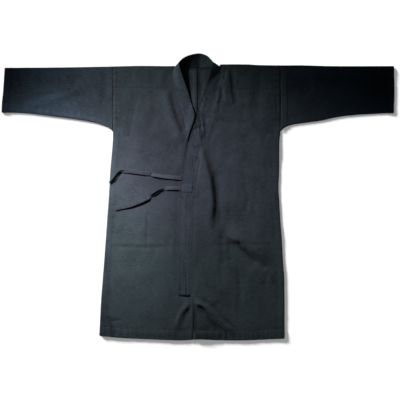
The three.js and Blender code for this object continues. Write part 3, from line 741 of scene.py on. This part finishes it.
# %% [markdown]
# ## Collar band
#
# The band is laid between its two edges. Its outer face looks up on the fronts, outwards at the sides of
# the neck and down behind the neck, where the camera sees the inside instead. Creases go along the
# face's own normal, which comes from the directions across and along the band.

# %% The band's outer face
def band_point(u, at):
    """A point between the sewn edge, u = 0, and the free edge, u = 1."""
    seam = np.stack([line(at) for line in band_seam], -1)
    free = np.stack([line(at) for line in band_free], -1)
    seam[..., 2] = np.maximum(seam[..., 2], 0)
    return seam + (free - seam) * u[..., None]


def band_normal(u, at):
    near = 0.04
    along = band_point(u, np.minimum(at + near, COLLAR_SPAN)) - band_point(u, np.maximum(at - near, 0))
    across = band_point(u + 0.01, at) - band_point(u - 0.01, at)
    normal = np.cross(across, along)
    return normal / np.linalg.norm(normal, axis=-1, keepdims=True)


BAND_CREASES = [
    # station, share of the width, length along in stations, width share, depth in mm
    (20.1, 0.75, 0.4, 0.09, 2), (20.4, 0.9, 0.4, 0.08, -1.6), (20.7, 0.7, 0.4, 0.09, 2.4),
    (20.95, 0.85, 0.4, 0.09, -2.2), (20.3, 0.3, 0.3, 0.1, -1.0), (21.3, 0.6, 0.4, 0.1, 1.6),
    (21.75, 0.3, 0.55, 0.1, -3), (21.9, 0.55, 0.5, 0.09, 2.4), (22.2, 0.2, 0.6, 0.1, -2.8),
    (22.5, 0.42, 0.6, 0.09, -2.4), (22.45, 0.65, 0.6, 0.1, 2.4), (22.9, 0.8, 0.6, 0.1, -2),
    (23.1, 0.3, 0.5, 0.12, 1.8), (23.5, 0.55, 0.5, 0.12, -1.4), (24.2, 0.3, 0.5, 0.1, -1.2),
    (8.6, 0.45, 0.35, 0.1, -1.4), (8.9, 0.7, 0.3, 0.12, 1.4), (8.1, 0.3, 0.3, 0.1, -1.2),
    (9.2, 0.2, 0.3, 0.1, 1.4), (9.6, 0.5, 0.25, 0.12, -1.2), (9.9, 0.25, 0.3, 0.1, -1.4),
    (7.4, 0.5, 0.4, 0.12, 1), (7.1, 0.25, 0.4, 0.08, 1.6), (6.6, 0.3, 0.5, 0.08, 1.4),
    (24.6, 0.5, 0.2, 0.1, -0.9), (25.3, 0.2, 0.24, 0.1, -2.4), (25.3, 0.82, 0.24, 0.1, -2.4),
    (27.3, 0.6, 0.3, 0.09, -1.4), (27.55, 0.5, 0.3, 0.09, -1.5), (27.4, 0.3, 0.3, 0.2, 0.8),
]


STATION_GAP = 60        # mm along the band from one station to the next, on average


def band_relief(u, at):
    """Height in mm on the band's outer face: its stitched edges, its creases and how it bows by the neck."""
    edge = np.minimum(u, 1 - u) * BAND_WIDTH
    sewn = u < 0.5
    face = -np.where(sewn, 0.3, 0.7) * fall(edge, 0, 3) - np.where(sewn, 0.8, 0.5) * hill(edge - 4.5, 1.8)
    face = face - 0.6 * hill((u - 0.44) * BAND_WIDTH, 2) * ease(at, 24.5, 25.5)
    along = at * STATION_GAP
    face = face + 0.22 * ripple(along, u * BAND_WIDTH, 30, 71) + 0.25 * puckers(along, edge - 2, 10, 6, 72)
    place = band_point(u, at)
    face = face + swell(place[..., 0], place[..., 1]) * (at < NECK_STATION["right"])
    bow = np.sin(np.pi * np.clip(u, 0, 1))
    face = face + 3 * bow * ease(at, 8, 11) * fall(at, 17, 20) - 9 * bow * hill(at - 17.9, 0.85)
    for station, share, length, width, depth in BAND_CREASES:
        slant = (u - share) + 0.35 * (at - station) / length * width / 0.1
        face = face + depth * hill(at - station, length * 0.5) * hill(slant, width)
    return face


def lay_band(u, t):
    at = t * COLLAR_SPAN
    point = band_point(u, at) + band_normal(u, at) * band_relief(u, at)[..., None]
    return point[..., 0], point[..., 1], np.maximum(point[..., 2], 0)


def band_painted_light(u, t):
    """Painted shade on the stand from the right side of the neck to the centre back, painted light from there to
    the left side, painted highlights on the right band below the neck, painted light and shade on the left band's
    creases by the crossing, and painted shade along the left band's free edge.
    """
    at = t * COLLAR_SPAN
    painted_stand_shade = -0.5 * ease(at, 11.4, 12) * fall(at, 13.7, 14.3)
    painted_stand_light = 0.85 * ease(at, 14, 14.5) * fall(at, 16.2, 16.9)
    painted_crest_light = 0.45 * hill(u - 0.3, 0.22) * ease(at, 7.8, 9) * fall(at, 10, 10.8)
    painted_crest_light = painted_crest_light * (1 + 0.5 * ripple(at * STATION_GAP, u * 9, 9, 73))
    painted_crinkle_light = 0.5 * hill(at - 20.7, 0.5) * hill(u - 0.78, 0.16)
    painted_crinkle_light = painted_crinkle_light * np.maximum(ripple(at * 70, u * BAND_WIDTH, 15, 74), 0)
    painted_crinkle_light = painted_crinkle_light + 0.4 * hill(at - 22.3, 0.6) * ripple(at * 30, u * 60, 14, 75)
    shaded_edge = -0.5 * ease(u, 0.9, 1) * ease(at, 16.5, 17.2)
    return painted_stand_shade + painted_stand_light + painted_crest_light + painted_crinkle_light + shaded_edge


collar = lay_cloth("collar_cloth", 32, [(560, lay_band)], BAND, band_painted_light)

# %% [markdown]
# ## Tie patch and ties
#
# The patch is a small stitched square of cloth on the left band, and the lower tie comes out of it. The
# upper tie is sewn on at the band's edge. A tie is a strip of the same cloth, sewn into a flat tube about
# 13 mm wide. It is a cord with a free end, so it is made as a tube round a path, which runs through the
# points of its solid. The roll turns the strip on its edge where it twists.

# %% The patch
PATCH_X, PATCH_Y = (-56, -20), (18, 43)


def lay_patch(u, t):
    x, y = mix(*PATCH_X, u), mix(*PATCH_Y, t)
    share = (seam_x["left"](y) - x) / (seam_x["left"](y) - free_x["left"](y))
    z = mix(seam_z["left"](y), free_z["left"](y), share) + 1.35
    edge = np.minimum(np.minimum(u, 1 - u) * 36, np.minimum(t, 1 - t) * 25)
    z = z - 0.5 * fall(edge, 0, 2) - 0.3 * hill(edge - 3, 1) + 0.15 * ripple(x, y, 12, 81)
    return x, y, z


patch = lay_cloth("tie_patch_cloth", 30, [(22, lay_patch)], CLOTH, lambda u, t: 0.25 + 0 * u)

# %% The ties' routes: x, y and roll in degrees
TIE_WIDTH, TIE_THICKNESS = 13, 2
TIE_UPPER = [
    (-55, 65.5, 8), (-61, 66, 10), (-80, 68, 16), (-121, 72, 22), (-153, 77.5, 20), (-166, 80, -24), (-178, 82, 8),
    (-214, 87, 12), (-252, 90, 4), (-270, 87, -42), (-283, 72, -48), (-294, 58, -46), (-304, 48, -24),
]
TIE_LOWER = [
    (-56, 31, 6), (-62, 31, 8), (-75, 32, 14), (-97, 32, 16), (-112, 30, 4), (-122, 27, -28),
    (-142, 18, -50), (-158, 8, -42), (-169, 1, 12), (-180, -6, 24), (-224, -25, 20), (-250, -32, 14),
    (-270, -36, 10), (-287, -41, 8),
]


def tie_line(route):
    """Centre points, the direction across the strip and its flat side's direction, along the route."""
    rows = [(i, *row) for i, row in enumerate(route)]
    at = np.linspace(0, len(route) - 1, 160)
    x, y, turn = [curve_through(rows, 0, column)(at) for column in (1, 2, 3)]
    roll = np.radians(turn)
    along = np.stack([np.gradient(x), np.gradient(y)], 1)
    along = along / np.linalg.norm(along, axis=1, keepdims=True)
    side_way = np.stack([-along[:, 1], along[:, 0]], 1)
    half = TIE_WIDTH / 2
    under = [right_front(x + a * half * side_way[:, 0], y + a * half * side_way[:, 1]) for a in (-1, 0, 1)]
    lift = 0.5 * (TIE_WIDTH * np.abs(np.sin(roll)) + TIE_THICKNESS * np.cos(roll))
    z = np.max(under, 0) + 0.2 + lift
    z = np.convolve(np.pad(z, 4, mode="edge"), np.ones(9) / 9, "valid")
    across = np.stack([side_way[:, 0] * np.cos(roll), side_way[:, 1] * np.cos(roll), np.sin(roll)], 1)
    up = np.stack([-side_way[:, 0] * np.sin(roll), -side_way[:, 1] * np.sin(roll), np.cos(roll)], 1)
    return np.stack([x, y, z], 1), across, up


def tie_painted_light(u, t):
    """Painted light and shade on a tie: painted paler from just past the band to its first twist, and painted
    darker beyond it.
    """
    clear = ease(t, 0.05, 0.08)
    return 0.4 * clear * fall(t, 0.38, 0.46) - 0.15 + 0.1 * clear - 0.22 * ease(t, 0.48, 0.72)


def make_tie(name, route):
    centre, across, up = tie_line(route)
    count = len(centre) - 1

    def lay(u, t):
        i = np.rint(t * count).astype(int)
        angle = u * math.tau
        wide = np.cos(angle) * TIE_WIDTH / 2
        thick = np.sign(np.sin(angle)) * np.abs(np.sin(angle)) ** 0.6 * TIE_THICKNESS / 2
        closing = ease(np.minimum(i, count - i), 0, 2)
        thick = thick * mix(0.05, 1, closing) * (1 - 0.35 * hill(np.abs(wide) - 4.5, 0.8))
        thick = thick + 0.35 * ripple(t * 240, wide, 22, 91) * np.sign(thick) * 0.3
        point = centre[i] + across[i] * wide[:, None] + up[i] * thick[:, None]
        return point[:, 0], point[:, 1], point[:, 2]

    tie = lay_cloth(name, 28, [(count, lay)], 0, tie_painted_light)
    bm = bmesh.new()
    bm.from_mesh(tie.data)
    bmesh.ops.remove_doubles(bm, verts=bm.verts, dist=0.00001)
    bmesh.ops.holes_fill(bm, edges=bm.edges, sides=0)
    bmesh.ops.recalc_face_normals(bm, faces=bm.faces)
    bm.to_mesh(tie.data)
    bm.free()
    return tie


tie_upper = make_tie("upper_tie_cloth", TIE_UPPER)
tie_lower = make_tie("lower_tie_cloth", TIE_LOWER)

# %% [markdown]
# ## Stitches
#
# Every hem, seam allowance and band edge is topstitched. A stitch is a short length of thread that dips
# into the cloth at both ends, so a small stretched ball does for it: it has only two dozen faces, because
# there are over a thousand. They follow the cloth's own height, so they lie in its puckers.

# %% Lines of stitches
STITCH, PITCH, THREAD = 3.2, 4.4, 1.1     # length, spacing and thickness in mm
DIP = 1.2               # from a stitch's middle to where its slope is read
BATCH = 40              # stitches made at a time
ABOVE = 0.05            # how far the thread's middle lies above the cloth


def on_cloth(face, xs, ys, above=ABOVE):
    """The points of a line that lies on a face, which gives its height at x, y."""
    x, y = np.broadcast_arrays(np.asarray(xs, float), np.asarray(ys, float))
    return np.stack([x, y, face(x, y) + above], 1)


def on_band(u, first, last, depth=ABOVE):
    at = np.linspace(first, last, int((last - first) * 24) + 2)
    u = np.full(len(at), u)
    return band_point(u, at) + band_normal(u, at) * (band_relief(u, at) + depth)[:, None]


def sew(name, lines):
    """One mesh of stitches along several lines of points, made in batches because that is quicker."""
    mesh = bpy.data.meshes.new(name)
    whole = bmesh.new()
    count = 0
    for line in lines:
        run = np.r_[0, np.linalg.norm(np.diff(line, axis=0), axis=1).cumsum()]
        places = np.arange(PITCH / 2, run[-1] - STITCH / 2, PITCH)
        starts, ends = [
            np.stack([np.interp(places + off, run, line[:, k]) for k in range(3)], 1) for off in (-DIP, DIP)
        ]
        for first in range(0, len(places), BATCH):
            bm = bmesh.new()
            for start, end in zip(starts[first:first + BATCH], ends[first:first + BATCH]):
                turn = Vector(end - start).to_track_quat("X", "Z").to_matrix().to_4x4()
                size = Matrix.Diagonal((STITCH / 2, THREAD / 2, THREAD / 3, 1))
                place = Matrix.Translation(Vector((start + end) / 2) * MM)
                bmesh.ops.create_uvsphere(bm, u_segments=6, v_segments=4, radius=MM, matrix=place @ turn @ size)
            bm.to_mesh(mesh)
            bm.free()
            whole.from_mesh(mesh)
        count += len(places)
    whole.to_mesh(mesh)
    whole.free()
    mesh.shade_smooth()
    print(name, count, "stitches")
    return add_object(name, mesh)


# %% Where the stitches run
hem_lines, side_lines = [], []
for side, inner in (("right", -14), ("left", -9)):
    sign, front = SIGN[side], front_face[side]
    arm = lambda x, y: sleeve_face(side, x, y)
    xs = np.linspace(inner, float(side_x[side](-460)) - sign * 5, 300)
    hem_lines.append(on_cloth(front, xs, hem_y(xs) + HEM_DEPTH - 3))
    ys = np.linspace(-462, 210, 300)
    side_lines.append(on_cloth(front, side_x[side](ys) - sign * 19, ys))
    if side == "right":
        side_lines.append(on_cloth(front, ARMHOLE[side] + 14, np.linspace(236, 446, 120)))
    else:
        side_lines.append(on_cloth(arm, ARMHOLE[side] + 22, np.linspace(248, 446, 120)))
    ys = np.linspace(300, 446, 90)
    side_lines.append(on_cloth(arm, cuff_x[side](ys) - sign * (CUFF_DEPTH - 3), ys))
    xs = np.linspace(ARMHOLE[side] - sign * 14, sign * 92, 120)
    side_lines.append(on_cloth(front, xs, PATCH_LINE))
ys = np.linspace(-330, 130, 200)
side_lines.append(on_cloth(left_front, seam_x["left"](ys) + 5, ys))
xs = np.linspace(-36, 36, 30)
inside_back = lambda x, y: CLOTH + relief(FOLDS_BACK, x, y)
back_lines = [on_cloth(inside_back, xs, 443.6, 0.1), on_cloth(inside_back, xs[:20], 322.5, 0.1)]
band_lines = [on_band(0.1, 7.6, 27.9), on_band(0.9, 7.6, 27.9), on_band(0.44, 25, 27.7)]
band_lines.append(on_band(0.14, 11.6, 16.4, -BAND - 0.1))
seam_stitches = sew("hem_and_seam_stitches", hem_lines + side_lines + back_lines)
band_stitches = sew("band_stitches", band_lines)

# %% [markdown]
# ## Materials
#
# All the cloth is plain-woven cotton, dyed a dark slate that has faded a little. What the eye sees is a
# matt surface with a faint nap, threads that are uneven in thickness, mostly across the cloth, and soft
# patches where the dye has worn. Real threads are about 0.6 mm apart, finer than the render shows, so
# the weave is drawn at 1.2 to 1.6 mm. The colours are sRGB hex values, made linear by one function.

# %% Colours and nodes
def linear(hex_colour):
    """An sRGB hex colour as the linear RGBA that Blender's sockets take."""
    parts = [int(hex_colour[i:i + 2], 16) / 255 for i in (0, 2, 4)]
    return [p / 12.92 if p <= 0.04045 else ((p + 0.055) / 1.055) ** 2.4 for p in parts] + [1]


def add_node(tree, kind, settings=None, links=None):
    """Adds a node; settings are its own fields or sockets by name, links go from sockets to its inputs."""
    node = tree.nodes.new(kind)
    for name, value in (settings or {}).items():
        if isinstance(name, str) and hasattr(node, name):
            setattr(node, name, value)
        else:
            node.inputs[name].default_value = value
    for name, socket in (links or {}).items():
        tree.links.new(socket, node.inputs[name])
    return node


def start_material(name, values):
    """A new material, with these values on its shader's inputs: gives it, its tree and its shader."""
    material = bpy.data.materials.new(name)
    material.use_nodes = True
    shader = material.node_tree.nodes["Principled BSDF"]
    for socket, value in values.items():
        shader.inputs[socket].default_value = value
    return material, material.node_tree, shader


def add_ramp(tree, share, stops):
    """A colour ramp along a socket, through stops of position and linear colour."""
    node = add_node(tree, "ShaderNodeValToRGB", {}, {"Fac": share})
    elements = node.color_ramp.elements
    for k, (position, colour) in enumerate(stops):
        stop = elements[k] if k < 2 else elements.new(position)
        stop.position, stop.color = position, colour
    return node.outputs[0]


# %% The woven cotton
CHEST_CAST = (0.83, 1.01, 0.93, 1), (1.08, 1, 1.12, 1)      # away from the chest, and on it
SLEEVE_CAST_AND_SHADE = (0.78, 0.87, 0.99, 1), (0.53, 0.79, 0.98, 1)  # by the shoulder, and towards the cuff, where it is darker: painted shade


def woven_cotton(name, dye, fade_and_light, thread_gap_and_shade, thread_mm=1.6):
    """Plain-woven cotton: dye is its main colour, the pale colour shows fading and painted light, and the dark
    colour sits between the threads and shows painted shade.
    """
    material, tree, shader = start_material(
        name, {"Specular IOR Level": 0.22, "Sheen Weight": 0.12, "Sheen Roughness": 0.55}
    )

    def add(kind, out, settings=None, links=None):
        """A new node's output of this name or number."""
        return add_node(tree, "ShaderNode" + kind, settings, links).outputs[out]

    def noise(scale, detail, roughness, way):
        return add("TexNoise", "Fac", {"Scale": scale, "Detail": detail, "Roughness": roughness}, {"Vector": way})

    def remap(value, from_min, from_max, to_min=0, to_max=1):
        ends = {"From Min": from_min, "From Max": from_max, "To Min": to_min, "To Max": to_max}
        return add("MapRange", 0, ends, {"Value": value})

    # threads, and what is uneven along them, on the flat cut in mm
    cut = add("Mapping", 0, {"Scale": (1000, 1000, 1000)}, {"Vector": add("TexCoord", "UV")})
    slub_way = add("Mapping", 0, {"Scale": (0.24, 1, 1)}, {"Vector": cut})
    slub = noise(0.3, 3, 0.65, slub_way)
    patches = noise(0.016, 5, 0.65, cut)
    nap = noise(0.5, 3, 0.75, cut)
    wave = {"Scale": math.tau / 20 / thread_mm, "Distortion": 0.5, "Detail": 1}
    warp, weft = [add("TexWave", "Fac", {"bands_direction": way, **wave}, {"Vector": cut}) for way in ("X", "Y")]
    weave = add("Math", 0, {"operation": "MULTIPLY"}, {0: warp, 1: weft})

    # how much the dye has faded at each point, with painted light and shade from the vertices, and its colour
    # there
    paleness = remap(patches, 0.3, 0.75, 0.2, 0.58)
    paleness = add("Math", 0, {"operation": "ADD"}, {0: paleness, 1: remap(slub, 0.4, 0.72, 0, 0.41)})
    paleness = add("Math", 0, {"operation": "ADD"}, {0: paleness, 1: remap(nap, 0.48, 0.75, 0, 1.08)})
    # per-vertex wear, and painted light and shade: below 0 it darkens towards the dark colour
    wear_and_painted_light = add("Attribute", "Fac", {"attribute_name": "wear_and_painted_light"})
    paleness = add("Math", 0, {"operation": "ADD", "use_clamp": True}, {0: paleness, 1: wear_and_painted_light})
    cloth_tone = add_ramp(tree, paleness, [(0, linear(thread_gap_and_shade)), (0.3, linear(dye)), (1, linear(fade_and_light))])
    between = remap(weave, 0, 0.35, 0.35, 0)
    colour = add("Mix", 2, {"data_type": "RGBA", 7: linear(thread_gap_and_shade)}, {0: between, 6: cloth_tone})

    # a faint cast that changes from the chest to the hem and down the sleeves, where it also darkens towards the
    # cuff as painted shade
    spot = add("TexCoord", "Object")
    chest = add("Mapping", 0, {"Location": (0.02, -0.35, 0), "Scale": (2.4, 3.1, 0.5)}, {"Vector": spot})
    warm = add("TexGradient", "Fac", {"gradient_type": "SPHERICAL"}, {"Vector": chest})
    body_cast = add_ramp(tree, warm, list(zip((0, 0.45), CHEST_CAST)))
    outwards = add("Math", 0, {"operation": "ABSOLUTE"}, {0: add("SeparateXYZ", "X", {}, {0: spot})})
    sleeve_cast_and_shade = add_ramp(tree, remap(outwards, 0.38, 0.5), list(zip((0, 1), SLEEVE_CAST_AND_SHADE)))
    on_sleeve = remap(outwards, 0.27, 0.34)
    cast = add("Mix", 2, {"data_type": "RGBA"}, {0: on_sleeve, 6: body_cast, 7: sleeve_cast_and_shade})
    tinted = add("Mix", 2, {"data_type": "RGBA", "blend_type": "MULTIPLY", 0: 1}, {6: colour, 7: cast})

    height = add("Math", 0, {"operation": "MULTIPLY_ADD", 1: 0.7}, {0: weave, 2: slub})
    bump = add("Bump", 0, {"Strength": 1, "Distance": 0.0006}, {"Height": height})
    rough = remap(nap, 0, 1, 0.82, 0.98)
    for socket, place in ((tinted, "Base Color"), (bump, "Normal"), (rough, "Roughness")):
        tree.links.new(socket, shader.inputs[place])
    return material


# %% Cloth, band and ties
slate_cotton = woven_cotton("washed slate cotton, plain weave", "272e34", "464f58", "090d12")
band_cotton = woven_cotton("washed slate cotton, two layers", "252c33", "4a5560", "090d12", 1.3)
tie_cotton = woven_cotton("slate cotton strip, sewn flat", "262a32", "4a505b", "0a0c11", 1.2)
finishes = [
    (slate_cotton, "cloth", {"body_right": body["right"], "body_left": body["left"],
                             "sleeve_right": sleeves["right"], "sleeve_left": sleeves["left"]}),
    (band_cotton, "band_cloth", {"collar": collar, "tie_patch": patch}),
    (tie_cotton, "tie_cloth", {"tie_upper": tie_upper, "tie_lower": tie_lower}),
]
for finish, slot, pieces in finishes:
    for node, piece in pieces.items():
        piece.data.materials.append(finish)
        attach(piece, "root")
        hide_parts(node)
thread, tree, shader = start_material("dark cotton sewing thread", {"Roughness": 0.8})
twist_way = add_node(tree, "ShaderNodeTexCoord").outputs["Object"]
twist = add_node(tree, "ShaderNodeTexNoise", {"Scale": 900, "Detail": 2}, {"Vector": twist_way}).outputs["Fac"]
plies = add_ramp(tree, twist, [(0, linear("0f1216")), (1, linear("2c3138"))])
tree.links.new(plies, shader.inputs["Base Color"])
for stitches in (seam_stitches, band_stitches):
    stitches.data.materials.append(thread)
    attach(stitches, "root")
print("finished", [node for _, _, pieces in finishes for node in pieces])

# %% [markdown]
# ## Floor and light
#
# The jacket lies on a plain white floor. A soft spot from the upper left gives the folds their shadows,
# and the cloth is darker towards the cuffs and the hem, where the spot fades out. The floor has its own
# sun, so that it stays white right across and takes the jacket's soft shadow on the lower right.

# %% Floor
FLOOR_Z = -0.0004       # a hair under the cloth

floor = add_object("floor", grid_mesh("floor", 1, 1, 20))
floor.location.z = FLOOR_Z
paper, _, _ = start_material(
    "matt white paper floor", {"Base Color": linear("f4f4f4"), "Roughness": 0.9, "Specular IOR Level": 0.1}
)
floor.data.materials.append(paper)

# %% Lights
def add_light(name, kind, place, target, energy, **settings):
    data = bpy.data.lights.new(name, kind)
    data.energy = energy
    for key, value in settings.items():
        setattr(data, key, value)
    light = add_object(name, data)
    light.location = place
    light.rotation_mode = "QUATERNION"
    light.rotation_quaternion = (Vector(target) - Vector(place)).to_track_quat("-Z", "Y")
    return light


LAMP = (-0.842, 0.926, 0.82)
SOFT_EDGE = {"spot_blend": 1, "shadow_soft_size": 0.09}
key = add_light("key", "SPOT", LAMP, (0.067, -0.433, 0), 122, spot_size=math.radians(64.4), **SOFT_EDGE)
hot = add_light("key centre", "SPOT", LAMP, (-0.39, 0, 0), 158, spot_size=math.radians(24.2), **SOFT_EDGE)
fill = add_light("fill", "AREA", (0.2, -0.3, 2.6), (0, 0, 0), 0.9, shape="DISK", size=2.5)
fill.data.color = (0.45, 0.8, 1)
floor_sun = add_light("floor sun", "SUN", (-1, 1, 0.42), (0, 0, 0), 9.5, angle=math.radians(14))
floor_fill = add_light("floor fill", "SUN", (0, 0, 1), (0, 0, 0), 1, angle=math.radians(60))
for light, floor_state in (
    (key, "EXCLUDE"), (hot, "EXCLUDE"), (fill, "EXCLUDE"), (floor_sun, "INCLUDE"), (floor_fill, "INCLUDE"),
):
    reached = bpy.data.collections.new(light.name + " reaches")
    reached.objects.link(floor)
    reached.collection_objects[0].light_linking.link_state = floor_state
    light.light_linking.receiver_collection = reached

world = bpy.data.worlds.new("studio")
world.use_nodes = True
world.node_tree.nodes["Background"].inputs["Color"].default_value = linear("eef2f6")
world.node_tree.nodes["Background"].inputs["Strength"].default_value = 0.025
bpy.context.scene.world = world
bpy.context.scene.view_settings.view_transform = "Standard"

# %% Camera, straight above
camera_data = bpy.data.cameras.new("camera")
camera_data.lens = 83.2
camera = add_object("camera", camera_data)
camera.location = (0.0069, -0.0097, 3.2)
bpy.context.scene.camera = camera
